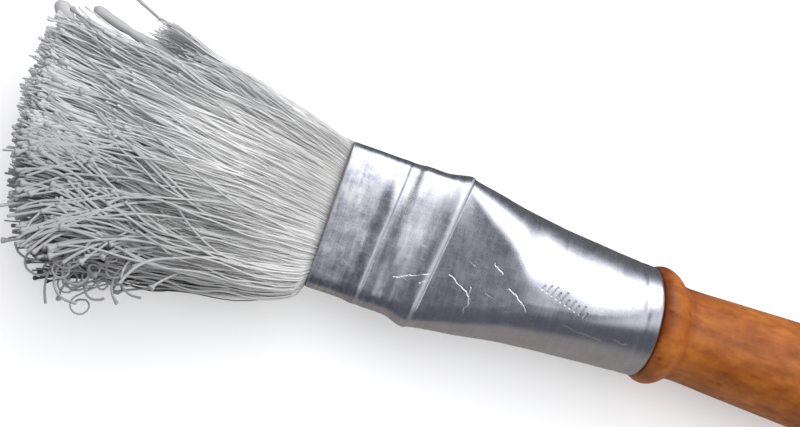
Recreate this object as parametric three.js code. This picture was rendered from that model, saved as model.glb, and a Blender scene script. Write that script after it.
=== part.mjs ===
// Flat paint brush: a splayed tuft of loose filaments, a flattened aluminium ferrule, a turned wooden handle.
// Millimetres, +Z up. The brush lies on its broad side, tuft towards -X, handle towards +X.
// Inside this file the mouth of the ferrule is at x = 0 and the brush's axis is the X axis; the last lines
// move the whole brush so that the origin is the bottom centre of its bounding box.

import * as THREE from 'three';

// ---- driving dimensions ----

const ROUND_RADIUS = 6.75;        // outside of the ferrule where it is still round
const FERRULE_LENGTH = 40.3;
const FERRULE_WALL = 0.35;
const FLAT_HALF_THICKNESS = 2.0;  // outside of the ferrule where it is pressed flat
const REAR_LEAN = -0.1;           // how far the round end and the bead are out of square, x per y
const FIT_GAP = 0.3;              // clearance kept between neighbouring pieces

const BUTT_DEPTH = 8;             // how far the filaments reach into the ferrule
const SET_LENGTH = 7;             // length of the resin block behind them

const TUFT_REACH = 38.5;          // mouth to tip along the longest edge
const TUFT_SLANT = 1.2;           // how much the tips fall back towards the worn edge
const TUFT_SPREAD = 0.8;          // widening of the fan at full reach, as a share of the mouth's width
const WORN_SPREAD = 1.05;         // the same on the worn edge, at -Y, where it also opens sooner
const TUFT_HALF_THICKNESS = 8.6;  // half the thickness of the fan at full reach
const TUFT_LAYERS = 3;
const TUFT_COLUMNS = 6;
const TUFT_EDGE = 0.9;            // share of the mouth's width that the columns fill; the strays lie outside
const LOCK_GAP = 0.2;             // gap between neighbouring locks in the mouth

const TENON_LENGTH = 10;
const BEAD_RADIUS = 7.2;
const BEAD_LENGTH = 4;
const NECK_RADIUS = 5.7;
const BELLY_RADIUS = 7.2;
const HANDLE_REACH = 115;         // from the ferrule to the tail
const TAIL_FLAT_RADIUS = 1.6;

const RING_SIDES = 32;            // points round a ferrule section
const LOCK_SIDES = 10;            // points round a lock's section
const LATHE_SIDES = 36;

// ---- materials ----

const filament = new THREE.MeshStandardMaterial({ color: 0xc9cbcc, roughness: 0.45, metalness: 0 });
const aluminium = new THREE.MeshStandardMaterial({ color: 0xb9bec6, roughness: 0.28, metalness: 1 });
const resin = new THREE.MeshStandardMaterial({ color: 0xb98a4a, roughness: 0.3, metalness: 0 });
const lacqueredWood = new THREE.MeshStandardMaterial({ color: 0xa8551f, roughness: 0.22, metalness: 0 });

// ---- geometry helpers ----

// Skins a stack of rings, each a list of Vector3 running counter-clockwise as seen from the stack's far end.
// A closed stack joins its last ring to its first, as the two faces of a tube do. An open one is capped.
function skin(rings, closed) {
  const sides = rings[0].length;
  const positions = rings.flat().flatMap((point) => point.toArray());
  const index = [];
  const bands = closed ? rings.length : rings.length - 1;
  for (let i = 0; i < bands; i++) {
    const here = i * sides;
    const next = ((i + 1) % rings.length) * sides;
    for (let j = 0; j < sides; j++) {
      const k = (j + 1) % sides;
      index.push(here + j, here + k, next + k, here + j, next + k, next + j);
    }
  }
  if (!closed) {
    const last = (rings.length - 1) * sides;
    const startCentre = positions.length / 3;
    positions.push(...centreOf(rings[0]).toArray(), ...centreOf(rings.at(-1)).toArray());
    for (let j = 0; j < sides; j++) {
      const k = (j + 1) % sides;
      index.push(startCentre, k, j, startCentre + 1, last + j, last + k);
    }
  }
  const geometry = new THREE.BufferGeometry();
  geometry.setAttribute('position', new THREE.Float32BufferAttribute(positions, 3));
  geometry.setIndex(index);
  geometry.computeVertexNormals();
  return geometry;
}

function centreOf(ring) {
  const sum = ring.reduce((total, point) => total.add(point), new THREE.Vector3());
  return sum.divideScalar(ring.length);
}

function piece(name, geometry, material) {
  const mesh = new THREE.Mesh(geometry, material);
  mesh.name = name;
  return mesh;
}

// ---- ferrule ----

// Flattening keeps the length of metal round the tube, which sets how wide the flat end is.
const FLAT_HALF_WIDTH = ROUND_RADIUS * Math.PI / 2 - FLAT_HALF_THICKNESS * (Math.PI / 2 - 1);

// A section with straight broad sides and rounded edges, grown by offset. softEdge and tightEdge are how far
// the rounding reaches in from the +Y and the -Y edge. lean shifts x in step with y.
function ferruleSection({ x, halfThickness, halfWidth, softEdge, tightEdge, lean = 0 }, offset) {
  const circumscribed = 1 / Math.cos(Math.PI / RING_SIDES);
  return Array.from({ length: RING_SIDES }, (_, i) => {
    const angle = (i + 0.5) / RING_SIDES * 2 * Math.PI;
    const side = Math.sign(Math.cos(angle));
    const edge = side > 0 ? softEdge : tightEdge;
    const y = side * (halfWidth - edge) + (edge + offset) * circumscribed * Math.cos(angle);
    const z = (halfThickness + offset) * circumscribed * Math.sin(angle);
    return new THREE.Vector3(x + lean * y, y, z);
  });
}

// From the mouth to the round end: a flat land, crimp 1, a flat land, crimp 2, and the swell to round.
// Behind crimp 2 the broad side stays flat along the tight edge and turns round early from the soft edge,
// which leaves a flat triangle with its point at the soft edge.
const CRIMP_1 = { x: 6.6, reach: 0.9, height: 0.22, lean: 0.17 };
const CRIMP_2 = { x: 13.8, reach: 0.9, height: 0.25, lean: 0.12 };
const SWELL = [
  { x: 18.2, halfThickness: 2.85, halfWidth: 8.8, softEdge: 4.9, tightEdge: 2.5 },
  { x: 22.2, halfThickness: 3.75, halfWidth: 8.25, softEdge: 7.6, tightEdge: 3 },
  { x: 26.5, halfThickness: 4.75, halfWidth: 7.95, softEdge: 11.6, tightEdge: 4.2 },
  { x: 34.5, halfThickness: 6.1, halfWidth: 7.2, softEdge: 8.1, tightEdge: 6.2 },
  {
    x: FERRULE_LENGTH, halfThickness: ROUND_RADIUS, halfWidth: ROUND_RADIUS + 0.01,
    softEdge: ROUND_RADIUS, tightEdge: ROUND_RADIUS, lean: REAR_LEAN,
  },
];

function flatStation(x, lean = 0) {
  return {
    x, halfThickness: FLAT_HALF_THICKNESS, halfWidth: FLAT_HALF_WIDTH,
    softEdge: FLAT_HALF_THICKNESS, tightEdge: FLAT_HALF_THICKNESS, lean,
  };
}

function crimpStations({ x, reach, height, lean }) {
  const crest = { ...flatStation(x, lean), height };
  return [flatStation(x - reach, lean), crest, flatStation(x + reach, lean)];
}

const FERRULE_STATIONS = [flatStation(0), ...crimpStations(CRIMP_1), ...crimpStations(CRIMP_2), ...SWELL];

function ferrule() {
  const outside = FERRULE_STATIONS.map((station) => ferruleSection(station, station.height ?? 0));
  const inside = FERRULE_STATIONS.map((station) => ferruleSection(station, -FERRULE_WALL));
  return piece('ferrule', skin([...outside, ...inside.reverse()], true), aluminium);
}

// ---- resin set: the block behind the filament butts ----

function resinSet() {
  const front = BUTT_DEPTH + FIT_GAP;
  const clearance = -FERRULE_WALL - FIT_GAP;
  const ends = [front, front + SET_LENGTH].map((x) => ferruleSection(flatStation(x), clearance));
  return piece('resin_set', skin(ends, false), resin);
}

// ---- tuft ----

const MOUTH_INSIDE = FLAT_HALF_THICKNESS - FERRULE_WALL - FIT_GAP / 2;
const MOUTH_STRAIGHT = FLAT_HALF_WIDTH - FLAT_HALF_THICKNESS;
const MOUTH_HALF_WIDTH = MOUTH_STRAIGHT + MOUTH_INSIDE;

// Half the thickness of the mouth's opening at a distance y from the axis.
function mouthHalfThickness(y) {
  const pastStraight = Math.max(0, Math.abs(y) - MOUTH_STRAIGHT);
  return Math.sqrt(Math.max(0, MOUTH_INSIDE ** 2 - pastStraight ** 2));
}

const WORN_OPENING_POWER = 0.4;
const RISE_POWER = 0.65;

// Where the filament at (across, through), each -1 to 1 in the mouth, is at a share of the way to its tip.
// A negative share is inside the ferrule, where filaments run straight.
function fanPoint(across, through, share, reach, sag) {
  const mouthY = across * MOUTH_HALF_WIDTH;
  const mouthZ = through * mouthHalfThickness(mouthY);
  if (share < 0) return new THREE.Vector3(-share * BUTT_DEPTH, mouthY, mouthZ);
  const worn = Math.max(0, -across) ** 2;
  const opening = share ** THREE.MathUtils.lerp(1, WORN_OPENING_POWER, worn) * reach / TUFT_REACH;
  const spread = 1 + THREE.MathUtils.lerp(TUFT_SPREAD, WORN_SPREAD, worn) * opening;
  const rise = share ** RISE_POWER;
  const tipZ = through * TUFT_HALF_THICKNESS;
  return new THREE.Vector3(
    -share * reach,
    mouthY * spread - sag * Math.sin(share * Math.PI / 2),
    mouthZ + (tipZ - mouthZ) * rise,
  );
}

const LOCK_SHARES = [1, 0.9, 0.75, 0.55, 0.35, 0.18, 0.06, 0, -1];
const LOCK_TIP_SIZE = 0.65;
const LOCK_TAPER_START = 0.75;

// One lock: the filaments of a cell of the mouth, from across[0] to across[1] and through[0] to through[1].
function lock(name, { across, through, reach, sag = 0 }) {
  const [centreA, centreT] = [across, through].map(([low, high]) => (low + high) / 2);
  const [halfA, halfT] = [across, through].map(([low, high]) => (high - low) / 2);
  const rings = LOCK_SHARES.map((share) => {
    const taper = Math.max(0, share - LOCK_TAPER_START) / (1 - LOCK_TAPER_START);
    const size = 1 - (1 - LOCK_TIP_SIZE) * taper;
    return Array.from({ length: LOCK_SIDES }, (_, i) => {
      const angle = (i + 0.5) / LOCK_SIDES * 2 * Math.PI;
      const a = centreA + size * halfA * squared(Math.cos(angle));
      const t = centreT + size * halfT * squared(Math.sin(angle));
      return fanPoint(a, t, share, reach, sag);
    });
  });
  return piece(name, skin(rings, false), filament);
}

// Pushes a cosine or sine outwards, so that the section is a rectangle with round corners.
function squared(value) {
  return Math.sign(value) * Math.sqrt(Math.abs(value));
}

const LAYER_NAMES = ['lower', 'middle', 'upper'];
const LAYER_SHORTFALL = [1.4, 0, 0.8];

function tuftLocks() {
  const locks = [];
  for (let column = 0; column < TUFT_COLUMNS; column++) {
    const across = band(column, TUFT_COLUMNS, TUFT_EDGE, LOCK_GAP / MOUTH_HALF_WIDTH);
    const slant = TUFT_SLANT * (1 - (across[0] + across[1]) / 2) ** 2;
    for (let layer = 0; layer < TUFT_LAYERS; layer++) {
      const reach = TUFT_REACH - slant - LAYER_SHORTFALL[layer];
      const through = band(layer, TUFT_LAYERS, 1, LOCK_GAP / MOUTH_INSIDE);
      locks.push(lock(`lock_${LAYER_NAMES[layer]}_${column + 1}`, { across, through, reach }));
    }
  }
  return locks;
}

// The limits of one of count equal bands between -edge and +edge, less the gap to the next one.
function band(number, count, edge, gap) {
  const width = 2 * edge / count;
  const low = -edge + number * width;
  return [low + gap / 2, low + width - gap / 2];
}

// Thin locks that lie along the two edges of the tuft, outside the columns.
function edgeLocks() {
  const inner = TUFT_EDGE + LOCK_GAP / 2 / MOUTH_HALF_WIDTH;
  const outer = [inner, 1];
  const worn = [-1, -inner];
  return [
    lock('stray_lock_thin', { across: outer, through: [0.1, 0.3], reach: 33 }),
    lock('stray_lock_blunt', { across: outer, through: [-0.25, 0], reach: 36 }),
    lock('curled_lock', { across: worn, through: [-0.6, 0.1], reach: 26, sag: 2.4 }),
  ];
}

// ---- handle ----

const BEAD_STEPS = 10;
const BEAD_SKEW = 0.7;            // below 1 the bead is fullest near the ferrule
const LEAN_FADES_OVER = 8;

// The profile runs from the tenon's nose to the tail, as (radius, distance from the mouth).
function handleProfile() {
  const shoulder = FERRULE_LENGTH + FIT_GAP;
  const tenonRadius = ROUND_RADIUS - FERRULE_WALL - FIT_GAP;
  const tenonNose = FERRULE_LENGTH - TENON_LENGTH;
  const tail = FERRULE_LENGTH + HANDLE_REACH;
  const tenon = [
    new THREE.Vector2(0, tenonNose),
    new THREE.Vector2(tenonRadius * 0.72, tenonNose),
    new THREE.Vector2(tenonRadius, FERRULE_LENGTH - 1.5),
    new THREE.Vector2(tenonRadius, shoulder),
  ];
  const bead = Array.from({ length: BEAD_STEPS + 1 }, (_, i) => {
    const share = i / BEAD_STEPS;
    const bulge = Math.sin(share ** BEAD_SKEW * Math.PI);
    const root = THREE.MathUtils.lerp(ROUND_RADIUS, NECK_RADIUS + 0.1, share);
    return new THREE.Vector2(root + (BEAD_RADIUS - root) * bulge, shoulder + share * BEAD_LENGTH);
  });
  const body = new THREE.SplineCurve([
    new THREE.Vector2(NECK_RADIUS, shoulder + BEAD_LENGTH + 1),
    new THREE.Vector2(NECK_RADIUS + 0.65, FERRULE_LENGTH + 20),
    new THREE.Vector2(BELLY_RADIUS, FERRULE_LENGTH + 47),
    new THREE.Vector2(BELLY_RADIUS - 1.7, FERRULE_LENGTH + 80),
    new THREE.Vector2(BELLY_RADIUS - 3.6, tail - 7),
    new THREE.Vector2(TAIL_FLAT_RADIUS + 1.2, tail - 1.4),
  ]).getPoints(26);
  return [...tenon, ...bead, ...body, new THREE.Vector2(TAIL_FLAT_RADIUS, tail), new THREE.Vector2(0, tail)];
}

function handle() {
  const geometry = new THREE.LatheGeometry(handleProfile(), LATHE_SIDES);
  geometry.rotateZ(-Math.PI / 2);
  const position = geometry.getAttribute('position');
  const beadEnd = FERRULE_LENGTH + FIT_GAP + BEAD_LENGTH;
  for (let i = 0; i < position.count; i++) {
    const x = position.getX(i);
    const fade = 1 - THREE.MathUtils.smoothstep(x, beadEnd, beadEnd + LEAN_FADES_OVER);
    position.setX(i, x + REAR_LEAN * position.getY(i) * fade);
  }
  return piece('handle', geometry, lacqueredWood);
}

// ---- assembly ----

const brush = new THREE.Group();
brush.add(handle(), ferrule(), resinSet(), ...tuftLocks(), ...edgeLocks());

const bounds = new THREE.Box3().setFromObject(brush, true);
const centre = bounds.getCenter(new THREE.Vector3());
brush.position.set(-centre.x, -centre.y, -bounds.min.z);

const group = new THREE.Group();
group.add(brush);

export default group;
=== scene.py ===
"""A flat paint brush lying on a pale floor: loose filaments, a crimped aluminium ferrule, a lacquered handle.

Lengths inside the builders are in millimetres in the brush's own axes: x from the mouth of the ferrule
towards the handle, y across the broad side, z out of it. to_frame() turns them into metres in the shared
frame.
"""

import bpy
import numpy as np
from mathutils import Matrix, Vector


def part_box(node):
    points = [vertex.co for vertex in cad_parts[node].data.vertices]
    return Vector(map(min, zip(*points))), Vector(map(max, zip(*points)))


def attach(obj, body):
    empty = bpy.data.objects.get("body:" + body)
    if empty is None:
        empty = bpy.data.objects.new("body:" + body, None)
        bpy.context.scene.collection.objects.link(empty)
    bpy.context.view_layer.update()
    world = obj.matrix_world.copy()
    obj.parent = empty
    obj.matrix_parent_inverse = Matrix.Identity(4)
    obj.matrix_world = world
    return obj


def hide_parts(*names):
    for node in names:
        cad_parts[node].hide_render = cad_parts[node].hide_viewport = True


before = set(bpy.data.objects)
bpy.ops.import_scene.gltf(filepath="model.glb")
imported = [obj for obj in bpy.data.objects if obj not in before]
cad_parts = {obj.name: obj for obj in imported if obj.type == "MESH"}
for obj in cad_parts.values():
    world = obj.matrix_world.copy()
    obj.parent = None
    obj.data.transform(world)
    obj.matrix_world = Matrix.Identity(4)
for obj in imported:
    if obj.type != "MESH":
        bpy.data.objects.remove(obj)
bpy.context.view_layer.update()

MM = 0.001

# ---- where the brush lies, from the frame ----

FERRULE_LOW, FERRULE_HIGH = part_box("ferrule")
HANDLE_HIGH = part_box("handle")[1]
MOUTH = np.array([
    FERRULE_LOW.x,
    (FERRULE_LOW.y + FERRULE_HIGH.y) / 2,
    (FERRULE_LOW.z + FERRULE_HIGH.z) / 2,
])
FLOOR = -MOUTH[2] / MM
TAIL = (HANDLE_HIGH.x - MOUTH[0]) / MM

# ---- main dimensions of the ferrule, the tuft and the handle, close to the CAD part's ----

ROUND_RADIUS = 6.75
FERRULE_LENGTH = 40.3
FERRULE_WALL = 0.35
FLAT_HALF_THICKNESS = 2.0
FLAT_HALF_WIDTH = ROUND_RADIUS * np.pi / 2 - FLAT_HALF_THICKNESS * (np.pi / 2 - 1)
REAR_LEAN = -0.1
FIT_GAP = 0.3
TENON_LENGTH = 10.0
BUTT_DEPTH = 8.0
TUFT_REACH = 38.5
TUFT_SLANT = 1.2
TUFT_SPREAD = 0.8
WORN_SPREAD = 1.05
WORN_OPENING_POWER = 0.4
RISE_POWER = 0.65
TUFT_HALF_THICKNESS = 8.6
BEAD_RADIUS = 7.2
BEAD_LENGTH = 3.7
BEAD_SKEW = 0.64
NECK_RADIUS = 5.7
BELLY_RADIUS = 7.2
TAIL_FLAT_RADIUS = 1.6


def to_frame(points):
    """Points of the brush's own axes, in millimetres, as points of the shared frame, in metres."""
    return np.asarray(points) * MM + MOUTH


def smoothstep(low, high, value):
    """0 up to low, 1 from high on, and a smooth rise between them."""
    share = np.clip((value - low) / (high - low), 0, 1)
    return share * share * (3 - 2 * share)


def smooth_curve(stations, values, at):
    """A curve through the stations with no overshoot, as a monotone cubic."""
    stations, values = np.asarray(stations, float), np.asarray(values, float)
    slopes = np.diff(values) / np.diff(stations)
    tangents = np.zeros_like(values)
    tangents[0], tangents[-1] = slopes[0], slopes[-1]
    same_sign = slopes[:-1] * slopes[1:] > 0
    mean = 2 * slopes[:-1] * slopes[1:] / np.where(same_sign, slopes[:-1] + slopes[1:], 1)
    tangents[1:-1] = np.where(same_sign, mean, 0)
    i = np.clip(np.searchsorted(stations, at, side="right") - 1, 0, len(stations) - 2)
    width = stations[i + 1] - stations[i]
    t = (at - stations[i]) / width
    return (
        values[i] * (1 + 2 * t) * (1 - t) ** 2
        + tangents[i] * width * t * (1 - t) ** 2
        + values[i + 1] * t * t * (3 - 2 * t)
        - tangents[i + 1] * width * t * t * (1 - t)
    )


# ---- meshes ----


def mesh_object(name, points, faces):
    """A smooth-shaded mesh. Each index array in faces is of faces with the same number of corners."""
    mesh = bpy.data.meshes.new(name)
    mesh.vertices.add(len(points))
    mesh.vertices.foreach_set("co", to_frame(points).astype(np.float32).ravel())
    corners = np.concatenate([f.ravel() for f in faces])
    sizes = np.concatenate([np.full(len(f), f.shape[1]) for f in faces])
    mesh.loops.add(len(corners))
    mesh.loops.foreach_set("vertex_index", corners.astype(np.int32))
    mesh.polygons.add(len(sizes))
    starts = np.concatenate([[0], np.cumsum(sizes)[:-1]])
    mesh.polygons.foreach_set("loop_start", starts.astype(np.int32))
    mesh.update(calc_edges=True)
    mesh.validate()
    mesh.shade_smooth()
    piece = bpy.data.objects.new(name, mesh)
    bpy.context.scene.collection.objects.link(piece)
    return piece


def ring_faces(rings, sides, closed):
    """Quads between consecutive rings of a stack, which joins its last ring to its first if closed."""
    here = np.arange(rings if closed else rings - 1)[:, None] * sides
    following = (here + sides) % (rings * sides)
    j = np.arange(sides)[None, :]
    k = (j + 1) % sides
    return np.stack([here + j, here + k, following + k, following + j], axis=-1).reshape(-1, 4)


def float_attribute(piece, name, values):
    attribute = piece.data.attributes.new(name, "FLOAT", "POINT")
    attribute.data.foreach_set("value", np.asarray(values, np.float32).ravel())


# ---- ferrule ----

FERRULE_HALF_SIDES = 112
FERRULE_STEP = 0.22
ARC_SAMPLES = 240
INSIDE_STRIDE = 4

# The flat end behind the mouth: half thickness, half width, soft edge, tight edge, and where it ends.
LAND = np.array([1.7, 9.85, 2.3, 1.9])
LAND_END = 14.15

# The swell behind the land, station by station: place, half thickness, half width, soft edge, tight edge.
SWELL = np.array([
    [LAND_END, *LAND],
    [18.2, 3.0, 8.95, 4.9, 2.5],
    [22.2, 4.25, 8.3, 7.6, 3.0],
    [25.0, 4.95, 8.0, 10.4, 4.0],
    [30.0, 5.75, 7.6, 10.9, 4.2],
    [35.5, 6.45, 7.1, 9.4, 4.9],
    [FERRULE_LENGTH, ROUND_RADIUS, ROUND_RADIUS, ROUND_RADIUS, ROUND_RADIUS],
])

# How far back a section leans for each millimetre of y, at places along the ferrule.
LEANS = np.array([
    [0, 0], [6.6, 0.08], [9.4, 0.11], [13.8, 0.15], [18.2, 0.04], [34.5, 0], [FERRULE_LENGTH, REAR_LEAN],
])

# The relief of the pressed end, as places and heights: two sharp crests with a soft one between them.
CRIMPS = np.array([
    [4.2, 0.0], [5.0, 0.04], [6.55, 0.30], [6.7, 0.30],
    [7.0, 0.17], [7.4, 0.19], [8.9, 0.39], [9.3, 0.40],
    [10.2, 0.345], [10.8, 0.34], [12.2, 0.50], [13.7, 0.80], [13.9, 0.80],
    [14.25, 0.63], [18.0, 0.45], [28.0, 0.0],
])
CRIMP_1_END = 7.6
SOFT_CREST = (9.0, 9.5)
CRIMP_2_START = 10.6
CRIMP_1_FADE = 0.6
SOFT_CREST_FADE = 0.35
SIDE_FADE = 0.5
CROWN = 0.12
UPPER_EDGE_DROP = 0.36
LOWER_EDGE_DROP = 0.22
RIM_GROOVE = 38.4
RIM_GROOVE_DEPTH = 0.06
RIM_GROOVE_WIDTH = 0.3

# Where the crests lie, each with a painted highlight along it, and how much the rim of the mouth is rubbed
# bright.
HIGHLIT_CRESTS = [6.72, 13.9]
CREST_STEP = 0.08
RIM_WEAR = 0.6


def bump_profile(stations, x):
    """The height of a relief at a place along it, and 0 before its first and after its last station."""
    inside = (x > stations[0, 0]) & (x < stations[-1, 0])
    return np.where(inside, smooth_curve(stations[:, 0], stations[:, 1], x), 0)


def relief(x, y):
    """How far the wall stands out from its plain section, at a place along and across it."""
    on_crimp_1 = 1 - smoothstep(CRIMP_1_END, CRIMP_1_END + 1, x)
    on_soft_crest = smoothstep(CRIMP_1_END, SOFT_CREST[0], x)
    on_soft_crest *= 1 - smoothstep(SOFT_CREST[1], CRIMP_2_START, x)
    before_crimp_2 = 1 - smoothstep(CRIMP_2_START, CRIMP_2_START + 2, x)
    fades = 1 - CRIMP_1_FADE * smoothstep(2.0, 7.0, y) * on_crimp_1
    fades *= 1 - SOFT_CREST_FADE * smoothstep(1.0, 6.0, -y) * on_soft_crest
    fades *= 1 - SIDE_FADE * smoothstep(8.2, 9.8, np.abs(y)) * before_crimp_2
    crimps = bump_profile(CRIMPS, x) * fades
    waver = 0.016 * np.sin(0.9 * x + 0.5 * y) + 0.012 * np.sin(0.45 * x - 0.8 * y + 2.0)
    wavering = smoothstep(0, 3, x) * (1 - smoothstep(34, 37, x))
    flat = 1 - smoothstep(LAND_END, 20, x)
    upper = np.clip((y - 4.0) / 5.8, 0, 1)
    lower = np.clip((-y - 4.0) / 5.8, 0, 1)
    drop = CROWN * (y / FLAT_HALF_WIDTH) ** 2 + UPPER_EDGE_DROP * upper**2 + LOWER_EDGE_DROP * lower**2
    groove = RIM_GROOVE_DEPTH * np.exp(-(((x - RIM_GROOVE) / RIM_GROOVE_WIDTH) ** 2))
    return crimps - drop * flat - groove + waver * wavering


def ferrule_ring(x, grow=0.0):
    """One section of the ferrule's wall, evenly spaced around it, grown outwards."""
    place = max(x, LAND_END)
    thickness, width, soft, tight = [smooth_curve(SWELL[:, 0], column, place) for column in SWELL[:, 1:].T]
    angle = np.linspace(0, np.pi, ARC_SAMPLES)
    across = np.cos(angle)
    edge = np.where(across > 0, soft, tight)
    y = np.sign(across) * (width - edge) + (edge + grow) * across
    z = (thickness + grow) * np.sin(angle)
    arc = np.concatenate([[0], np.cumsum(np.hypot(np.diff(y), np.diff(z)))])
    even = np.linspace(0, arc[-1], FERRULE_HALF_SIDES + 1)
    y, z = np.interp(even, arc, y), np.interp(even, arc, z)
    y, z = np.concatenate([y[:-1], y[:0:-1]]), np.concatenate([z[:-1], -z[:0:-1]])
    along_y = np.roll(y, -1) - np.roll(y, 1)
    along_z = np.roll(z, -1) - np.roll(z, 1)
    size = np.hypot(along_y, along_z)
    height = relief(x, y)
    y, z = y + height * along_z / size, z - height * along_y / size
    lean = np.interp(x, LEANS[:, 0], LEANS[:, 1])
    return np.stack([x + lean * y, y, z], axis=-1)


def make_ferrule():
    """The ferrule as one closed shell, ring by ring: its outside, its rear rim, its inside and its mouth."""
    lip = FERRULE_WALL / 2
    lip_angles = np.linspace(0, np.pi, 7)[1:-1]
    fine = [np.arange(crest - 0.6, crest + 0.8, CREST_STEP) for crest in HIGHLIT_CRESTS]
    steps = np.concatenate([np.arange(lip, FERRULE_LENGTH - lip, FERRULE_STEP), CRIMPS[:, 0], *fine])
    steps = np.unique(np.round(steps, 3))
    outside = [ferrule_ring(x) for x in steps]
    rear = [ferrule_ring(FERRULE_LENGTH - lip + lip * np.sin(a), -lip + lip * np.cos(a)) for a in lip_angles]
    inside = [ferrule_ring(x, -FERRULE_WALL) for x in steps[::-INSIDE_STRIDE]]
    mouth = [ferrule_ring(lip - lip * np.sin(a), -lip - lip * np.cos(a)) for a in lip_angles]
    rings = outside + rear + inside + mouth
    faces = ring_faces(len(rings), 2 * FERRULE_HALF_SIDES, closed=True)
    piece = mesh_object("ferrule_shell", np.concatenate(rings), [faces])
    across = np.array([ring[:, 1] for ring in outside])
    near_1, near_2 = [1 - smoothstep(0.1, 0.3, np.abs(steps - crest))[:, None] for crest in HIGHLIT_CRESTS]
    # The worn attribute: a painted highlight along both crests, on the first one fading towards +y, and the
    # rubbed rim of the mouth.
    worn = np.zeros((len(rings), 2 * FERRULE_HALF_SIDES))
    worn[:len(steps)] = np.maximum(near_1 * (1 - smoothstep(-2.0, 4.5, across)), near_2)
    worn[0] = RIM_WEAR
    float_attribute(piece, "worn", worn)
    return piece


# ---- handle ----

HANDLE_SIDES = 128
TENON_NOSE = 0.72
BEAD_STEPS = 40
BODY_STEPS = 150

# The handle behind its bead, station by station: radius, place.
BODY_PROFILE = np.array([
    [NECK_RADIUS, FERRULE_LENGTH + FIT_GAP + BEAD_LENGTH + 1],
    [5.95, FERRULE_LENGTH + 11],
    [NECK_RADIUS + 0.65, FERRULE_LENGTH + 20],
    [BELLY_RADIUS - 0.25, FERRULE_LENGTH + 36],
    [BELLY_RADIUS, FERRULE_LENGTH + 47],
    [BELLY_RADIUS - 1.7, FERRULE_LENGTH + 80],
    [BELLY_RADIUS - 3.6, TAIL - 7],
    [TAIL_FLAT_RADIUS + 1.2, TAIL - 1.4],
    [TAIL_FLAT_RADIUS, TAIL],
])


def handle_profile():
    """Places along the handle and the radius at each, from the tenon's nose to the tail."""
    shoulder = FERRULE_LENGTH + FIT_GAP / 2
    tenon_radius = ROUND_RADIUS - FERRULE_WALL - FIT_GAP
    tenon_x = [FERRULE_LENGTH - TENON_LENGTH, FERRULE_LENGTH - 1.5, shoulder]
    tenon_radii = [tenon_radius * TENON_NOSE, tenon_radius, tenon_radius]
    share = np.linspace(0, 1, BEAD_STEPS)
    root = ROUND_RADIUS - 0.1 + (NECK_RADIUS + 0.2 - ROUND_RADIUS) * share
    bead = root + (BEAD_RADIUS - root) * np.sin(share**BEAD_SKEW * np.pi)
    bead_x = shoulder + share * BEAD_LENGTH
    body_x = np.linspace(bead_x[-1] + 0.3, TAIL, BODY_STEPS)
    stations = np.concatenate([[bead_x[-1]], BODY_PROFILE[:, 1]])
    radii = np.concatenate([[bead[-1]], BODY_PROFILE[:, 0]])
    body = smooth_curve(stations, radii, body_x)
    return np.concatenate([tenon_x, bead_x, body_x]), np.concatenate([tenon_radii, bead, body])


def make_handle():
    """The handle as one closed turned shape, whose bead leans with the rear rim of the ferrule."""
    x, radii = handle_profile()
    angle = np.arange(HANDLE_SIDES) / HANDLE_SIDES * 2 * np.pi
    bead_end = FERRULE_LENGTH + FIT_GAP + BEAD_LENGTH
    lean = REAR_LEAN * (1 - smoothstep(bead_end, bead_end + 8, x))
    y = radii[:, None] * np.cos(angle)
    z = radii[:, None] * np.sin(angle)
    points = np.stack([x[:, None] + lean[:, None] * y, y, z], axis=-1).reshape(-1, 3)
    nose = np.arange(HANDLE_SIDES)[::-1][None, :]
    tail = (len(x) - 1) * HANDLE_SIDES + np.arange(HANDLE_SIDES)[None, :]
    faces = ring_faces(len(x), HANDLE_SIDES, closed=False)
    return mesh_object("turned_handle", points, [faces, nose, tail])


# ---- tuft ----

FILAMENT_SIDES = 5
ROOT_RADIUS = 0.052
TIP_RADIUS = 0.088

# The rings of a tip: how far before its end each lies, and how much a knob swells it.
TIP_LENGTHS = np.array([0.75, 0.5, 0.25, 0.08, 0.0])
TIP_SWELL = np.array([0.3, 0.8, 1.0, 0.75, 0.0])
PLAIN_TIP_SWELL = 0.15
BLUNT_END = 0.35

MOUTH_INSIDE = LAND[0] - FERRULE_WALL - 1.5 * ROOT_RADIUS
MOUTH_STRAIGHT = FLAT_HALF_WIDTH - FLAT_HALF_THICKNESS + 0.2
MOUTH_HALF_WIDTH = MOUTH_STRAIGHT + MOUTH_INSIDE
TUFT_CEILING = TUFT_HALF_THICKNESS - 0.4
TUFT_SIDE = 18.0
UPPER_EDGE_THINNING = 0.7
CLEARANCE = 0.3


def share_steps(count):
    """Shares of a filament's reach to put a ring at: its butt, the mouth, count places, and its tip."""
    return np.concatenate([[-1.0, -0.03], np.linspace(0.0, 0.96, count), 1 - TIP_LENGTHS / TUFT_REACH])


def mouth_half_thickness(y):
    """Half the opening of the mouth at a place across it, which rounds off at both ends."""
    past_straight = np.maximum(0, np.abs(y) - MOUTH_STRAIGHT)
    return np.sqrt(np.maximum(0, MOUTH_INSIDE**2 - past_straight**2))


def fan(across, through, share, reach):
    """Places at a share of the reach of filaments that start in the mouth at across and through, -1 to 1."""
    mouth_y = across * MOUTH_HALF_WIDTH
    mouth_z = through * mouth_half_thickness(mouth_y)
    out = np.maximum(share, 0)
    worn = np.maximum(0, -across) ** 2
    opening = out ** (1 + (WORN_OPENING_POWER - 1) * worn) * reach / TUFT_REACH
    spread = 1 + (TUFT_SPREAD + (WORN_SPREAD - TUFT_SPREAD) * worn) * opening
    tip_z = through * TUFT_HALF_THICKNESS * np.sqrt(1 - UPPER_EDGE_THINNING * np.clip(across, 0, 1) ** 2)
    x = np.where(share < 0, -share * BUTT_DEPTH, -share * reach)
    return np.stack([x, mouth_y * spread, mouth_z + (tip_z - mouth_z) * out**RISE_POWER], axis=-1)


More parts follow.
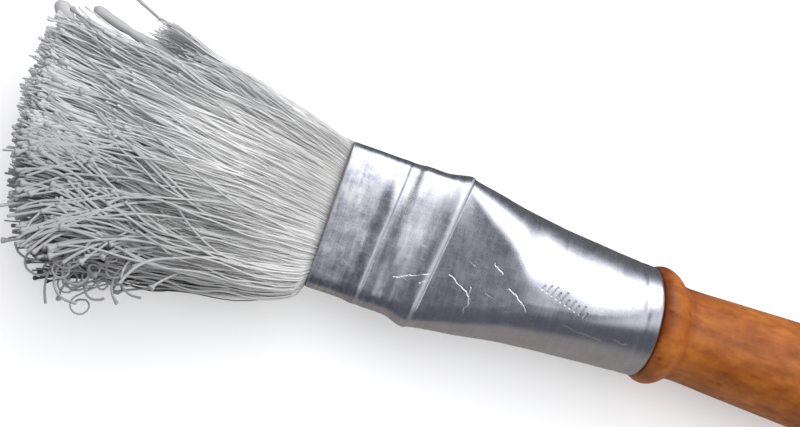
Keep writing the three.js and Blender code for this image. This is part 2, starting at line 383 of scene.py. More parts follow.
def bend(paths, shares, start, yaw, pitch):
    """Turns each path more and more from its start share on, by yaw in the broad side and pitch out of it."""
    progress = np.clip((shares - start[:, None]) / (1 - start[:, None]), 0, 1)[:, 1:]
    steps = np.diff(paths, axis=1)
    turn, lift = yaw[:, None] * progress, pitch[:, None] * progress
    dx = steps[..., 0] * np.cos(turn) - steps[..., 1] * np.sin(turn)
    dy = steps[..., 0] * np.sin(turn) + steps[..., 1] * np.cos(turn)
    dz = steps[..., 2] + np.hypot(dx, dy) * np.sin(lift)
    bent = np.concatenate([paths[:, :1], np.stack([dx, dy, dz], axis=-1)], axis=1)
    return np.cumsum(bent, axis=1)


def bend_inside(paths, shares, start, yaw, pitch):
    """Bends paths, and turns the ones that would leave the tuft's sides the other way."""
    for _ in range(3):
        bent = bend(paths, shares, start, yaw, pitch)
        strays = (bent[..., 1].min(axis=1) < -TUFT_SIDE) | (bent[..., 1].max(axis=1) > TUFT_SIDE - 2)
        yaw = np.where(strays, -0.5 * yaw, yaw)
    return bent


def tubes(name, paths, radii, along, shade):
    """One mesh of closed tubes, one for each path."""
    count, steps, _ = paths.shape
    tangent = np.gradient(paths, axis=1)
    tangent /= np.linalg.norm(tangent, axis=-1, keepdims=True) + 1e-9
    side = np.cross(tangent, np.array([0.0, 0.0, 1.0]))
    side /= np.linalg.norm(side, axis=-1, keepdims=True) + 1e-9
    up = np.cross(side, tangent)
    angle = np.arange(FILAMENT_SIDES) / FILAMENT_SIDES * 2 * np.pi
    offset = np.cos(angle)[:, None] * side[:, :, None, :] + np.sin(angle)[:, None] * up[:, :, None, :]
    points = paths[:, :, None, :] + radii[:, :, None, None] * offset
    one = ring_faces(steps, FILAMENT_SIDES, closed=False)[:, ::-1]
    starts = np.arange(count)[:, None, None] * steps * FILAMENT_SIDES
    quads = (one[None] + starts).reshape(-1, 4)
    first = np.arange(FILAMENT_SIDES)[None, None, :]
    last = (steps - 1) * FILAMENT_SIDES + first[..., ::-1]
    caps = np.concatenate([first + starts, last + starts]).reshape(-1, FILAMENT_SIDES)
    piece = mesh_object(name, points.reshape(-1, 3), [quads, caps])
    per_point = np.ones((count, steps, FILAMENT_SIDES))
    float_attribute(piece, "along", along[:, :, None] * per_point)
    float_attribute(piece, "shade", shade[:, :, None] * per_point)
    return piece


# Filaments lean towards their clump, and share its wave, its drift, its reach and part of its shade.
CLUMP_SEED = 11
CLUMPS_ACROSS = 30
CLUMPS_THROUGH = 9
clump_rng = np.random.default_rng(CLUMP_SEED)
CLUMP_CENTRES = np.stack(np.meshgrid(
    (np.arange(CLUMPS_ACROSS) + 0.5) / CLUMPS_ACROSS * 2 - 1,
    (np.arange(CLUMPS_THROUGH) + 0.5) / CLUMPS_THROUGH * 2 - 1,
), axis=-1).reshape(-1, 2)
CLUMP_CENTRES += clump_rng.normal(0, 0.45, CLUMP_CENTRES.shape) / [CLUMPS_ACROSS, CLUMPS_THROUGH]
CLUMP_COUNT = len(CLUMP_CENTRES)
CLUMP_PHASE = clump_rng.uniform(0, 2 * np.pi, (CLUMP_COUNT, 4))
CLUMP_WAVE = clump_rng.uniform(9, 17, (CLUMP_COUNT, 2))
CLUMP_DRIFT = clump_rng.normal(0, 0.4, (CLUMP_COUNT, 2))
CLUMP_REACH = clump_rng.normal(0, 0.4, CLUMP_COUNT)
CLUMP_SHADE = clump_rng.uniform(0, 1, CLUMP_COUNT)


def nearest_clump(across, through):
    """The clump that each filament belongs to."""
    gap = (across[:, None] - CLUMP_CENTRES[None, :, 0]) * CLUMPS_ACROSS
    rise = (through[:, None] - CLUMP_CENTRES[None, :, 1]) * CLUMPS_THROUGH
    return np.argmin(gap**2 + rise**2, axis=1)


# How much shorter the fan is than TUFT_REACH: at its corners, on top, and off its middle layer.
TIP_MARGIN = 0.6
WORN_CORNER_CUT = 4
UPPER_CORNER_CUT = 12.5
UPPER_EDGE_CUT = 3
UPPER_EDGE_RETURN = 5
TOP_CUT = 1.9
LAYER_CUT = 0.8


def tuft_reach(across, through):
    """The fan's reach: slanted back to the worn edge, lower on top, and cut short at both edges."""
    slant = TUFT_SLANT * (1 - across) ** 2
    corners = WORN_CORNER_CUT * smoothstep(0.5, 1.0, -across)
    corners += UPPER_CORNER_CUT * smoothstep(0.54, 0.72, across)
    corners += UPPER_EDGE_CUT * smoothstep(0.72, 0.85, across)
    corners -= UPPER_EDGE_RETURN * smoothstep(0.86, 1.0, across)
    layers = TOP_CUT * np.maximum(0, through) + LAYER_CUT * through**2
    return TUFT_REACH - TIP_MARGIN - slant - corners - layers


# How far filaments wave along y and z: the axis, a filament's own wave and its clump's.
WAVES = ((1, 0.15, 0.3), (2, 0.22, 0.2))


def wavy_paths(rng, across, through, shares, reach, gathering):
    """Filaments that leave these places in the mouth, wave, and gather in clumps at their tips."""
    count = len(across)
    clump = nearest_clump(across, through)
    along = np.maximum(shares, 0)
    gather = gathering * smoothstep(0.35, 1.0, along)
    a = across[:, None] + (CLUMP_CENTRES[clump, 0] - across)[:, None] * gather
    t = through[:, None] + (CLUMP_CENTRES[clump, 1] - through)[:, None] * gather
    paths = fan(a, t, shares[None, :], reach[:, None])
    distance = along * reach[:, None]
    grow = along**1.3
    for axis, own_size, clump_size in WAVES:
        wave = 2 * np.pi * distance / CLUMP_WAVE[clump, axis - 1][:, None] + CLUMP_PHASE[clump, axis][:, None]
        own = 2 * np.pi * distance / rng.uniform(6, 15, count)[:, None] + rng.uniform(0, 6.3, count)[:, None]
        sway = clump_size * np.sin(wave) + CLUMP_DRIFT[clump, axis - 1][:, None] * grow
        strength = own_size * rng.uniform(0.4, 1.4, count)[:, None]
        ripple = strength * (np.sin(own) - np.sin(own[:, :1])) * smoothstep(0, 0.25, along)
        paths[..., axis] += sway * grow + ripple
    shade = 0.6 * CLUMP_SHADE[clump] + 0.4 * rng.uniform(size=count)
    return paths, np.repeat(0.9 + 0.1 * shade[:, None], len(shares), axis=1)


def filament_tubes(name, rng, paths, shares, shade, knobbed, thickened):
    """The filaments of a piece: finer at the mouth, and many with a knob of dried paint on the tip."""
    count = len(paths)
    along = np.maximum(shares, 0)
    paths[..., 2] = np.clip(paths[..., 2], FLOOR + CLEARANCE, TUFT_CEILING)
    swell = np.where(rng.uniform(size=count) < knobbed, rng.uniform(0.5, 2.2, count), PLAIN_TIP_SWELL)
    thickness = thickened * rng.uniform(0.85, 1.2, count)
    radii = (ROOT_RADIUS + (TIP_RADIUS - ROOT_RADIUS) * along) * thickness[:, None]
    tip = slice(-len(TIP_LENGTHS), None)
    radii[:, tip] *= 1 + swell[:, None] * TIP_SWELL
    radii[:, -1] *= BLUNT_END
    return tubes(name, paths, radii, np.broadcast_to(along, paths.shape[:2]), shade)


LOCK_SEED = 100
LAYER_NAMES = ["lower", "middle", "upper"]
TUFT_COLUMNS = 6
CELL_ASPECT = 3.2
FILAMENTS_PER_LOCK = {"lower": 280, "middle": 400, "upper": 540}
LOCK_STEPS = share_steps(24)

# How the main locks are filled: how filaments draw to the faces and to their clumps, and shares of them.
OUTWARD_POWER = 0.6
GATHERING = 0.35
WORN_EDGE_GAPS = 0.45
CUT_SHORT = 0.25
CROSSING = 0.02
CROSSING_WORN = 0.3
CROSSING_BACK = 0.3
KNOBBED = 0.4

# How much darker the filaments are: painted shade towards the worn edge, darker where they cross, and deeper
# painted shade in the lower layers of the worn edge by the mouth.
WORN_EDGE_PAINTED_SHADE = 0.5
CROSSING_DARKENING = 0.3
LOWER_LAYERS_PAINTED_SHADE = 0.7


def jittered(rng, count, across, through):
    """Evenly scattered places in a cell of the mouth."""
    rows = max(1, round((count / CELL_ASPECT) ** 0.5))
    columns = -(-count // rows)
    i = np.arange(rows * columns)
    u = (i % columns + rng.uniform(0.1, 0.9, len(i))) / columns
    v = (i // columns + rng.uniform(0.1, 0.9, len(i))) / rows
    return across[0] + u * (across[1] - across[0]), through[0] + v * (through[1] - through[0])


def lock_reach(rng, across, through):
    """The reach of a lock's filaments: some are cut short, and the ones by the upper corner end unevenly."""
    count = len(across)
    clump = nearest_clump(across, through)
    reach = tuft_reach(across, through) + CLUMP_REACH[clump] + rng.normal(0, 0.4, count)
    cut_short = rng.uniform(size=count) < CUT_SHORT * (across < 0.7)
    reach -= np.where(cut_short, rng.uniform(1, 10, count), 0)
    by_corner = smoothstep(0.68, 0.76, across) * (1 - smoothstep(0.9, 0.97, across))
    return reach - rng.uniform(0, 9, count) * by_corner


def with_painted_shade(shade, across, through, crosses):
    """The shade of a lock's filaments with painted shade: darker towards the worn edge, darkest low in it by
    the mouth, and darker where they cross.
    """
    darkening = WORN_EDGE_PAINTED_SHADE * smoothstep(0.15, 0.6, -across) * ~crosses + CROSSING_DARKENING * crosses
    low_shade = LOWER_LAYERS_PAINTED_SHADE * smoothstep(0.6, 0.9, -across) * (through < 0.55)
    shade = shade * (1 - darkening[:, None] * smoothstep(0.1, 0.5, LOCK_STEPS))
    return shade * (1 - low_shade[:, None] * smoothstep(0.0, 0.2, LOCK_STEPS))


def make_lock(name, rng, count, across_range, through_range):
    """One main lock: most filaments nearly straight, some crossing the others, and fewer at the worn edge."""
    across, through = jittered(rng, count, across_range, through_range)
    through = np.sign(through) * np.abs(through) ** OUTWARD_POWER
    kept = rng.uniform(size=len(across)) > WORN_EDGE_GAPS * smoothstep(0.3, 0.6, -across)
    across, through = across[kept], through[kept]
    count = len(across)
    reach = lock_reach(rng, across, through)
    paths, shade = wavy_paths(rng, across, through, LOCK_STEPS, reach, GATHERING)
    worn = smoothstep(0.0, 0.8, -across)
    start = rng.uniform(0.0, 0.75, count)
    crossing_share = (CROSSING + CROSSING_WORN * worn * (through > 0.2)) * (across < 0.6)
    crosses = rng.uniform(size=count) < crossing_share
    way = np.where(rng.uniform(size=count) < CROSSING_BACK, -0.5, 1.0)
    crossing = way * rng.normal(0.2 + 0.6 * worn, 0.35, count)
    yaw = rng.normal(0, 0.06 + 0.1 * worn, count) + crosses * crossing
    yaw = np.where(across > 0.6, np.abs(yaw), yaw)
    pitch = rng.normal(0, 0.06, count) + crosses * rng.uniform(0.05, 0.35, count)
    paths = bend_inside(paths, LOCK_STEPS, start, yaw, pitch)
    # Painted shade at the worn edge and in its lower layers.
    shade = with_painted_shade(shade, across, through, crosses)
    knobbed = KNOBBED * (1 - smoothstep(0.6, 0.72, across))
    thickened = (1 + 0.8 * crosses) * (1 - 0.3 * smoothstep(0.66, 0.76, across))
    return filament_tubes(name, rng, paths, LOCK_STEPS, shade, knobbed, thickened)


def make_locks():
    """The main locks, column by column and layer by layer, each in place of its CAD solid."""
    made = []
    edges = np.linspace(-1, 1, TUFT_COLUMNS + 1)
    depths = np.linspace(-1, 1, len(LAYER_NAMES) + 1)
    for column in range(TUFT_COLUMNS):
        for layer, layer_name in enumerate(LAYER_NAMES):
            rng = np.random.default_rng(LOCK_SEED + 10 * column + layer)
            name = f"filaments_{layer_name}_{column + 1}"
            count = FILAMENTS_PER_LOCK[layer_name]
            piece = make_lock(name, rng, count, edges[column:column + 2], depths[layer:layer + 2])
            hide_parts(f"lock_{layer_name}_{column + 1}")
            made.append(piece)
    return made


BUNDLE_STEPS = np.concatenate([np.linspace(0, 0.93, 40), np.linspace(0.94, 1.0, 22)])
THINNEST_CLOT = 0.03
STRAY_SEED = 5


def smooth_path(points, shares):
    """A smooth curve through a few points, at shares of its length, and that length."""
    points = np.asarray(points, float)
    at = np.concatenate([[0], np.cumsum(np.linalg.norm(np.diff(points, axis=0), axis=1))])
    return np.stack([smooth_curve(at, points[:, i], at[-1] * shares) for i in range(3)], axis=-1), at[-1]


def make_bundle(name, rng, points, strand_count, bundle_radius, clot_radius, clot_from):
    """Filaments along points, stuck together by dried paint from the share clot_from on, with a blunt end."""
    along = BUNDLE_STEPS
    path, length = smooth_path(points, along)
    angle = rng.uniform(0, 2 * np.pi, strand_count)[:, None]
    angle = angle + along * rng.uniform(-3, 3, strand_count)[:, None]
    radius = bundle_radius * rng.uniform(0.2, 1, strand_count)[:, None] * (1.7 - along)
    strands = path[None] + np.zeros((strand_count, 1, 1))
    strands[..., 1] += radius * np.cos(angle)
    strands[..., 2] += radius * np.sin(angle)
    stop = rng.uniform(0.93, 0.975, strand_count)[:, None]
    radii = TIP_RADIUS * np.minimum(1, 0.7 + along) * np.where(along < stop, 1, 0.3)
    end = clot_radius / length
    rounding = np.sqrt(np.clip(1 - ((along - 1 + end) / end) ** 2, 0, 1))
    thickening = smoothstep(clot_from - 0.08, clot_from, along)
    lumps = 1 + 0.12 * np.sin(along * 41) + 0.09 * np.sin(along * 97 + 1)
    clot = clot_radius * lumps * np.where(along > 1 - end, rounding, thickening)
    paths = np.concatenate([strands, path[None]])
    radii = np.concatenate([radii, np.maximum(clot, THINNEST_CLOT)[None]])
    shade = rng.uniform(0.68, 0.82, len(paths))[:, None] * np.ones_like(along)
    return tubes(name, paths, radii, np.broadcast_to(along, paths.shape[:2]), shade)


# The strays beside the upper edge, from inside the mouth to their ends.
THIN_STRAY = [
    (8, 8.6, 0.4), (0, 8.9, 0.5), (-10, 11.4, 0.9), (-18, 13.1, 1.3), (-24.4, 14.4, 1.5), (-30.2, 16.6, 1.8),
]
BLUNT_STRAY = [
    (8, 8.2, 0), (0, 8.4, 0.2), (-12, 9.8, 1.2), (-23, 10.9, 2.0), (-27.3, 11.6, 2.3), (-33.8, 13.1, 2.7),
]
KNOBBED_STRAY = [
    (8, 6.6, 0.3), (0, 6.8, 0.5), (-14, 8.4, 2.5), (-28, 9.0, 3.6), (-34, 9.3, 3.8), (-37.6, 11.9, 3.8),
]

CURLED_SEED = 7
CURLED_COUNT = 64
CURLED_STEPS = share_steps(60)
CURLED_GATHERING = 0.2
# Painted shade along the curled filaments, as at the worn edge.
CURLED_PAINTED_SHADE = 0.35
CURLED_KNOBBED = 0.5
CURLED_THICKENED = 1.5


def make_curled_lock():
    """Matted filaments of the worn edge, which hang out of it and end in small loops."""
    rng = np.random.default_rng(CURLED_SEED)
    across = rng.uniform(-1.02, -0.86, CURLED_COUNT)
    through = rng.uniform(-0.6, 0.9, CURLED_COUNT)
    reach = rng.uniform(24, 33, CURLED_COUNT)
    paths, shade = wavy_paths(rng, across, through, CURLED_STEPS, reach, CURLED_GATHERING)
    hang_from = rng.uniform(0.5, 0.7, CURLED_COUNT)
    hang_yaw = rng.uniform(0.1, 1.3, CURLED_COUNT)
    paths = bend(paths, CURLED_STEPS, hang_from, hang_yaw, rng.normal(-0.1, 0.2, CURLED_COUNT))
    side = np.where(rng.uniform(size=CURLED_COUNT) < 0.5, -1, 1)
    loop_from = rng.uniform(0.76, 0.9, CURLED_COUNT)
    loop_yaw = side * rng.uniform(1.0, 10.0, CURLED_COUNT)
    paths = bend(paths, CURLED_STEPS, loop_from, loop_yaw, rng.normal(0.1, 0.4, CURLED_COUNT))
    # Painted shade along the curled filaments.
    shade = shade * (1 - CURLED_PAINTED_SHADE * smoothstep(0.1, 0.4, CURLED_STEPS))
    name = "filaments_curled"
    return filament_tubes(name, rng, paths, CURLED_STEPS, shade, CURLED_KNOBBED, CURLED_THICKENED)


def make_strays():
    """The strays and the curled lock. The knobbed stray has no CAD solid to replace."""
    rng = np.random.default_rng(STRAY_SEED)
    thin = make_bundle(
        "filaments_stray_thin", rng, THIN_STRAY,
        strand_count=8, bundle_radius=0.25, clot_radius=0.2, clot_from=0.7,
    )
    blunt = make_bundle(
        "filaments_stray_blunt", rng, BLUNT_STRAY,
        strand_count=16, bundle_radius=0.5, clot_radius=0.62, clot_from=0.62,
    )
    knobbed = make_bundle(
        "filaments_stray_knobbed", rng, KNOBBED_STRAY,
        strand_count=12, bundle_radius=0.4, clot_radius=0.9, clot_from=0.965,
    )
    curled = make_curled_lock()
    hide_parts("stray_lock_thin")
    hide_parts("stray_lock_blunt")
    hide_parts("curled_lock")
    return [thin, blunt, knobbed, curled]


# ---- materials ----


class Nodes:
    """Short ways to add nodes to a node tree and to join them."""

    def __init__(self, tree):
        self.tree = tree

    def feed(self, socket, value):
        """Links an output to a socket, or sets the socket to a plain value."""
        if isinstance(value, bpy.types.NodeSocket):
            self.tree.links.new(value, socket)
        else:
            socket.default_value = value

    def add(self, kind, inputs=None, **settings):
        node = self.tree.nodes.new(f"ShaderNode{kind}")
        for key, value in settings.items():
            setattr(node, key, value)
        for key, value in (inputs or {}).items():
            self.feed(node.inputs[key], value)
        return node

    def math(self, operation, *values, clamp=False):
        node = self.add("Math", operation=operation, use_clamp=clamp)
        for socket, value in zip(node.inputs, values):
            self.feed(socket, value)
        return node.outputs[0]

    def vector(self, operation, *values, output="Vector"):
        node = self.add("VectorMath", operation=operation)
        for socket, value in zip(node.inputs, values):
            self.feed(socket, value)
        return node.outputs[output]

    def product(self, *values):
        total = values[0]
        for value in values[1:]:
            total = self.math("MULTIPLY", total, value)
        return total

    def weighted(self, *terms):
        """The sum of values, each times its weight."""
        total = self.math("MULTIPLY", *terms[0])
        for value, weight in terms[1:]:
            total = self.math("MULTIPLY_ADD", value, weight, total)
        return total

    def largest(self, masks):
        joined = masks[0]
        for mask in masks[1:]:
            joined = self.math("MAXIMUM", joined, mask)
        return joined

    def rescale(self, value, low, high, to_low=0.0, to_high=1.0, **settings):
        """A value from low to high, as one from to_low to to_high."""
        inputs = {"Value": value, "From Min": low, "From Max": high, "To Min": to_low, "To Max": to_high}
        return self.add("MapRange", inputs, **settings).outputs["Result"]

    def ramp(self, factor, *stops):
        """Colours along a factor, each stop a position and a colour."""
        node = self.add("ValToRGB", {"Fac": factor})
        elements = node.color_ramp.elements
        while len(elements) < len(stops):
            elements.new(1.0)
        for element, (position, colour) in zip(elements, stops):
            element.position = position
            element.color = (*colour, 1)
        return node.outputs["Color"]

    def mix(self, factor, first, second, blend_type="MIX"):
        inputs = {"Factor": factor, "A": first, "B": second}
        return self.add("Mix", inputs, data_type="RGBA", blend_type=blend_type).outputs["Result"]

    def noise(self, vector, detail=4.0, roughness=0.5):
        inputs = {"Vector": vector, "Scale": 1.0, "Detail": detail, "Roughness": roughness}
        return self.add("TexNoise", inputs).outputs["Fac"]

    def stretched(self, scale):
        """Object coordinates, scaled along each axis."""
        coordinates = self.add("TexCoord").outputs["Object"]
        return self.add("Mapping", {"Vector": coordinates, "Scale": scale}).outputs["Vector"]

    def bump(self, height, strength, distance):
        inputs = {"Height": height, "Strength": strength, "Distance": distance}
        return self.add("Bump", inputs).outputs["Normal"]

    def principled(self, **inputs):
        """A Principled shader, its inputs named with underscores for spaces."""
        named = {key.replace("_", " "): value for key, value in inputs.items()}
        return self.add("BsdfPrincipled", named).outputs["BSDF"]

    def finish(self, shader):
        self.add("OutputMaterial", {"Surface": shader})


def new_material(name):
    """A material and its empty node tree."""
    material = bpy.data.materials.new(name)
    material.use_nodes = True
    material.node_tree.nodes.clear()
    return material, Nodes(material.node_tree)


def grey(value):
    return (value, value, value)


def from_mouth(n, position):
    """How far behind the mouth of the ferrule a position lies, in millimetres."""
    x = n.add("SeparateXYZ", {0: position}).outputs["X"]
    return n.math("DIVIDE", n.math("SUBTRACT", x, float(MOUTH[0])), MM)


TRANSLUCENCY = 0.3


def filament_material():
    """Dull white plastic with painted shade: dark inside the ferrule, greyer by the mouth and at the tips,
    and darkened by the shade attribute.
    """
    material, n = new_material("filament")
    along = n.add("Attribute", attribute_name="along").outputs["Fac"]
    shade = n.add("Attribute", attribute_name="shade").outputs["Fac"]
    # Painted shade along the length: dark inside the ferrule, greyer by the mouth and at the tips.
    painted_length_shade = n.ramp(
        along,
        (0.0, (0.30, 0.29, 0.28)), (0.03, (0.78, 0.77, 0.76)),
        (0.5, (0.95, 0.95, 0.94)), (1.0, (0.74, 0.74, 0.75)),
    )
    # The shade attribute: each filament's own tone, with the painted shade of the locks.
    strand_colour = n.ramp(shade, (0.0, grey(0.0)), (1.0, grey(1.0)))
    colour = n.mix(1.0, painted_length_shade, strand_colour, "MULTIPLY")
    plastic = n.principled(Base_Color=colour, Roughness=0.6, Specular_IOR_Level=0.15)
    glow = n.add("BsdfTranslucent", {"Color": colour}).outputs["BSDF"]
    both = n.add("MixShader", {"Fac": TRANSLUCENCY, 1: plastic, 2: glow})
    n.finish(both.outputs["Shader"])
    return material


# Scratches in the upper side of the ferrule, each from one place along and across it to another.
SCRATCHES = [
    [(9.5, -5.4), (13.3, -3.8)],
    [(12.5, -5.2), (13.3, -4.5)],
    [(15.5, -3.1), (17.7, -4.6)],
    [(17.7, -4.6), (18.5, -5.4)],
    [(18.2, -4.0), (18.4, -5.9)],
    [(18.5, -5.8), (18.0, -7.8)],
    [(20.1, -0.5), (21.3, -1.6)],
    [(22.5, -3.0), (25.0, -5.0)],
    [(29.5, -5.2), (33.0, -5.5)],
    [(33.2, -5.4), (34.4, -5.6)],
    [(35.6, -5.0), (37.4, -4.9)],
]
SCRATCH_WIDTH = 0.26
SCRATCH_WANDER = 0.8
WANDER_SCALE = 900.0
HAIRLINE_ANGLES = [0.4, 1.9]
HAIRLINE_SCALE = (260, 4200, 260)

# A row of short dents beside each other, which all reach the same way, with painted shade in them.
DENT_ROW_FROM = np.array([26.0, -1.9])
DENT_ROW_TO = np.array([31.4, -3.7])
DENT_LENGTHS = [0.5, 1.0, 1.3, 0.9, 1.4, 0.7, 1.1, 0.8, 1.2, 0.6]
DENT_REACH = np.array([0.42, 0.85])
DENT_WIDTH = 0.36

CLEAN_ALUMINIUM = (0.82, 0.83, 0.89, 1)
BARE_AND_HIGHLIT_ALUMINIUM = (0.97, 0.97, 1.0, 1)
PAINTED_DENT_SHADE = (0.16, 0.16, 0.19, 1)
TARNISHED_UP_TO = 5
CLEAN_FROM = 16


def near_segment(n, position, ends, width):
    """1 on the line between two places along and across the brush, falling to 0 at half the width from it."""
    start, end = (Vector(to_frame((*e, 0.0))) for e in ends)
    start.z = end.z = 0.0
    span = end - start
    from_start = n.vector("SUBTRACT", position, start)
    projected = n.vector("DOT_PRODUCT", from_start, span / span.length_squared, output="Value")
    share = n.math("MAXIMUM", n.math("MINIMUM", projected, 1.0), 0.0)
    closest = n.add("VectorMath", {0: span, "Scale": share}, operation="SCALE").outputs["Vector"]
    gap = n.vector("LENGTH", n.vector("SUBTRACT", from_start, closest), output="Value")
    return n.math("SUBTRACT", 1.0, n.math("DIVIDE", gap, width / 2 * MM), clamp=True)


def marks_on_top(n, position):
    """Masks of the wandering scratches and of the dents, both in the upper side of the ferrule."""
    flat_position = n.vector("MULTIPLY", position, (1.0, 1.0, 0.0))
    wander = n.add("TexNoise", {"Vector": position, "Scale": WANDER_SCALE, "Detail": 2.0}).outputs["Color"]
    wander = n.vector("SUBTRACT", wander, (0.5, 0.5, 0.5))
    wander = n.vector("MULTIPLY", wander, (SCRATCH_WANDER * MM, SCRATCH_WANDER * MM, 0.0))
    wandering = n.vector("ADD", flat_position, wander)
    scratches = n.largest([near_segment(n, wandering, ends, SCRATCH_WIDTH) for ends in SCRATCHES])
    rows = np.linspace(DENT_ROW_FROM, DENT_ROW_TO, len(DENT_LENGTHS))
    dent_ends = [(row, row + length * DENT_REACH) for row, length in zip(rows, DENT_LENGTHS)]
    dents = n.largest([near_segment(n, flat_position, ends, DENT_WIDTH) for ends in dent_ends])
    z = n.add("SeparateXYZ", {0: position}).outputs["Z"]
    upper_side = n.math("GREATER_THAN", z, float(MOUTH[2]))
    return n.product(scratches, upper_side), n.product(dents, upper_side)


def hairlines(n, position):
    """A mask of faint hairlines that run in two directions."""
    masks = []
    for angle in HAIRLINE_ANGLES:
        turned = n.add("Mapping", {"Vector": position, "Rotation": (0, 0, angle)}).outputs["Vector"]
        line = n.add("Mapping", {"Vector": turned, "Scale": HAIRLINE_SCALE}).outputs["Vector"]
        masks.append(n.ramp(n.noise(line, detail=2), (0.71, grey(0.0)), (0.82, grey(0.35))))
    return n.largest(masks)


def aluminium_material():
    """Mottled aluminium, more stained near the mouth, bright in its scratches and on the rubbed rim, with a
    painted highlight on its crests.
    """
    material, n = new_material("aluminium")
    position = n.add("TexCoord").outputs["Object"]
    streaks = n.noise(n.stretched((1700, 300, 300)), detail=6, roughness=0.65)
    dashes = n.noise(n.stretched((420, 1500, 500)), detail=5, roughness=0.65)
    blotches = n.noise(n.stretched((420, 420, 420)), detail=7, roughness=0.7)
    stain = n.weighted((streaks, 0.4), (blotches, 0.4), (dashes, 0.2))
    mottled = n.ramp(stain, (0.36, (0.36, 0.36, 0.42)), (0.48, (0.66, 0.67, 0.74)), (0.60, (0.98, 0.98, 1.0)))
    tarnished = n.rescale(from_mouth(n, position), TARNISHED_UP_TO, CLEAN_FROM, 1.0, 0.3)
    colour = n.mix(tarnished, CLEAN_ALUMINIUM, mottled)
    scratches, dents = marks_on_top(n, position)
    marks = n.math("MAXIMUM", scratches, hairlines(n, position))
    # The worn attribute holds a painted highlight on the crests and the rubbed rim of the mouth.
    worn = n.add("Attribute", attribute_name="worn").outputs["Fac"]
    wear_and_painted_highlight = n.math("MAXIMUM", n.product(marks, 0.42), n.product(worn, 0.8))
    colour = n.mix(wear_and_painted_highlight, colour, BARE_AND_HIGHLIT_ALUMINIUM)
    # Painted shade in the dents.
    colour = n.mix(n.product(dents, 0.45), colour, PAINTED_DENT_SHADE)
    uneven = n.weighted((streaks, 0.5), (dashes, 0.4), (blotches, 0.5))
    height = n.weighted((uneven, 0.45), (marks, -1.0), (dents, -0.8))
    roughness = n.math("MULTIPLY_ADD", wear_and_painted_highlight, 0.4, n.rescale(stain, 0.35, 0.65, 0.21, 0.33))
    n.finish(n.principled(
        Base_Color=colour, Metallic=1.0, Roughness=roughness, Normal=n.bump(height, 0.26, 0.00012),
    ))
    return material


# How far, how unevenly and how much the wood is darker on both sides of the bead.
BEAD_SIDE_REACH = 10.0
BEAD_SIDE_WAVER = 1.6
BEAD_SIDE_DARKENING = 0.6
SPECK_STRENGTH = 0.55


def wood_material():
    """Orange-brown lacquered wood: grain, clouds and specks, and darker on both sides of the bead."""
    material, n = new_material("lacquered_wood")
    grain = n.noise(n.stretched((70, 620, 620)), detail=7, roughness=0.65)
    cloud = n.noise(n.stretched((130, 200, 200)), roughness=0.6)
    mottle = n.noise(n.stretched((600, 800, 800)), roughness=0.6)
    tone = n.weighted((grain, 0.3), (cloud, 0.4), (mottle, 0.3))
    colour = n.ramp(
        tone, (0.36, (0.20, 0.046, 0.006)), (0.5, (0.34, 0.095, 0.012)), (0.62, (0.47, 0.155, 0.026)),
    )
    from_ferrule = n.math("SUBTRACT", from_mouth(n, n.add("TexCoord").outputs["Object"]), FERRULE_LENGTH)
    waver = n.product(n.math("SUBTRACT", mottle, 0.5), BEAD_SIDE_WAVER)
    bead_sides = n.ramp(
        n.math("DIVIDE", n.math("ADD", from_ferrule, waver), BEAD_SIDE_REACH),
        (0.03, (0.46, 0.24, 0.19)), (0.11, (0.95, 0.91, 0.87)), (0.2, (1.0, 1.0, 1.0)),
        (0.34, (0.9, 0.82, 0.78)), (0.42, (0.66, 0.52, 0.45)), (0.52, (1.0, 1.0, 1.0)),
    )
    speck = n.add("TexVoronoi", {"Vector": n.stretched((260, 420, 420)), "Scale": 1.0, "Randomness": 1.0})
    specks = n.ramp(speck.outputs["Distance"], (0.07, grey(0.3)), (0.15, grey(1.0)))
    colour = n.mix(BEAD_SIDE_DARKENING, colour, bead_sides, "MULTIPLY")
    colour = n.mix(SPECK_STRENGTH, colour, specks, "MULTIPLY")
    height = n.weighted((grain, 1.0), (mottle, 0.6))
    n.finish(n.principled(
        Base_Color=colour, Roughness=0.45, Normal=n.bump(height, 0.2, 0.0001),
        Specular_IOR_Level=0.3, Coat_Weight=0.18, Coat_Roughness=0.18,
    ))
    return material


def resin_material():
    """Clouded amber resin."""
    material, n = new_material("resin")
    cloud = n.noise(n.stretched((300, 300, 300)))
    colour = n.ramp(cloud, (0.3, (0.30, 0.16, 0.05)), (0.7, (0.50, 0.30, 0.12)))
    n.finish(n.principled(Base_Color=colour, Roughness=0.3))
    return material


def floor_material():
    """A pale floor that glows enough to come out white away from the shadow."""
    material, n = new_material("floor")
    n.finish(n.principled(
        Base_Color=(0.6, 0.6, 0.6, 1), Roughness=0.9,
        Emission_Color=(1.0, 1.0, 1.0, 1), Emission_Strength=0.38,
    ))
    return material


# ---- assembly ----


def finish_piece(piece, material):
    piece.data.materials.clear()
    piece.data.materials.append(material)
    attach(piece, "root")


aluminium = aluminium_material()
wood = wood_material()
resin = resin_material()
filament = filament_material()

ferrule = make_ferrule()
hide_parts("ferrule")
finish_piece(ferrule, aluminium)

handle = make_handle()
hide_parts("handle")
finish_piece(handle, wood)

for filaments in make_locks() + make_strays():
    finish_piece(filaments, filament)

resin_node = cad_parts["resin_set"]
resin_node.data.materials.clear()
resin_node.data.materials.append(resin)

# ---- stage ----

bpy.ops.mesh.primitive_plane_add(size=6)
floor = bpy.context.object
floor.name = "floor"
floor.data.materials.append(floor_material())


def area_light(name, place, aim, size, power):
    """A rectangular lamp at a place in the frame, aimed at another."""
    light = bpy.data.lights.new(name, "AREA")
    light.shape = "RECTANGLE"
    light.size, light.size_y = size
    light.energy = power
    lamp = bpy.data.objects.new(name, light)
    lamp.location = place
    lamp.rotation_euler = (Vector(aim) - Vector(place)).to_track_quat("-Z", "Y").to_euler()
    bpy.context.scene.collection.objects.link(lamp)
    return lamp


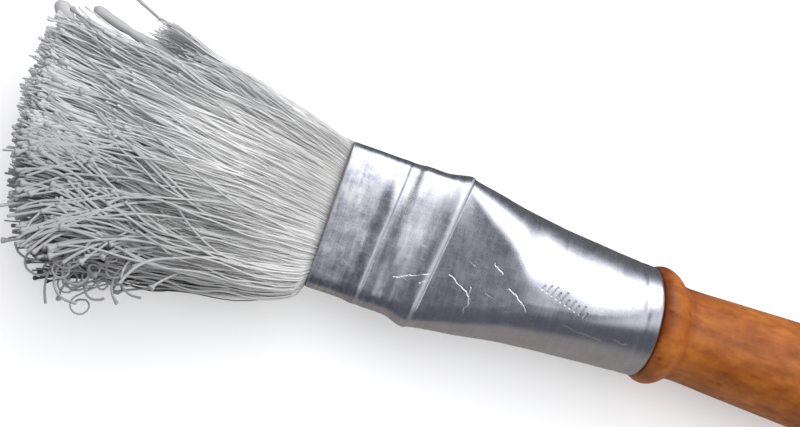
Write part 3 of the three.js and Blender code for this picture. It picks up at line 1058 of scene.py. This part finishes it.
area_light("window", place=(-0.10, 0.585, 0.56), aim=(-0.27, 0.085, 0.01), size=(0.6, 0.55), power=1.42)
overhead = area_light("overhead", place=(0.25, 0.3, 0.85), aim=tuple(MOUTH), size=(2.4, 2.4), power=30.0)

# The metal mirrors the window and the walls, and neither the overhead lamp nor the floor.
overhead.visible_glossy = False
floor.visible_glossy = False

DIM_WALL = (0.10, 0.104, 0.125, 1)
LIGHT_WALL = (0.9, 0.92, 0.97, 1)
WARM_GROUND = (0.27, 0.25, 0.235, 1)
COOL_GROUND = (0.12, 0.12, 0.13, 1)


def studio_world():
    """Dim walls for the metal to mirror.

    A light quarter lies up towards +X and +Y, and a light patch high up towards +X. Both are dimmer in the
    far corner, towards +X and +Y. Below, the ground is warm grey towards -Y and darker towards +Y.
    """
    world = bpy.data.worlds.new("studio")
    world.use_nodes = True
    n = Nodes(world.node_tree)

    def ease(value, low, high):
        return n.rescale(value, low, high, interpolation_type="SMOOTHSTEP")

    def dimmed(full, loss):
        """What is left of a full brightness once the far corner has taken its share."""
        return n.math("MULTIPLY_ADD", far_corner, -loss, full)

    x, y, z = n.add("SeparateXYZ", {0: n.add("TexCoord").outputs["Generated"]}).outputs
    far_corner = n.product(ease(x, 0.12, 0.28), ease(y, 0.25, 0.75))
    quarter = n.product(ease(x, -0.2, -0.03), ease(y, 0.12, 0.52), ease(z, 0.1, 0.4), dimmed(1.0, 0.6))
    patch = n.product(ease(x, 0.1, 0.25), ease(y, -0.45, -0.1), ease(z, 0.5, 0.8), dimmed(0.85, 0.5))
    walls = n.mix(n.math("MAXIMUM", quarter, patch), DIM_WALL, LIGHT_WALL)
    ground = n.mix(ease(y, 0.0, 0.3), WARM_GROUND, COOL_GROUND)
    n.feed(n.tree.nodes["Background"].inputs["Color"], n.mix(ease(z, -0.1, 0.25), ground, walls))
    return world


bpy.context.scene.world = studio_world()
bpy.context.scene.view_settings.view_transform = "Standard"

# ---- camera ----

# Its place in the brush's own axes, and its forward and downward directions.
CAMERA_FROM = (-4.6, -37.0, 122.9)
CAMERA_FORWARD = Vector((0.0975, 0.3058, -0.9471))
CAMERA_DOWN = Vector((0.3318, -0.9072, -0.2587))
FOCAL_LENGTH = 48.6
SENSOR_WIDTH = 36
NEAREST_SEEN = 0.001

camera_data = bpy.data.cameras.new("camera")
camera_data.lens = FOCAL_LENGTH
camera_data.sensor_width = SENSOR_WIDTH
camera_data.clip_start = NEAREST_SEEN
camera = bpy.data.objects.new("camera", camera_data)
right = CAMERA_DOWN.cross(CAMERA_FORWARD).normalized()
back = -CAMERA_FORWARD.normalized()
up = back.cross(right)
turn = Matrix((right, up, back)).transposed().to_4x4()
camera.matrix_world = Matrix.Translation(Vector(to_frame(CAMERA_FROM))) @ turn
bpy.context.scene.collection.objects.link(camera)
bpy.context.scene.camera = camera
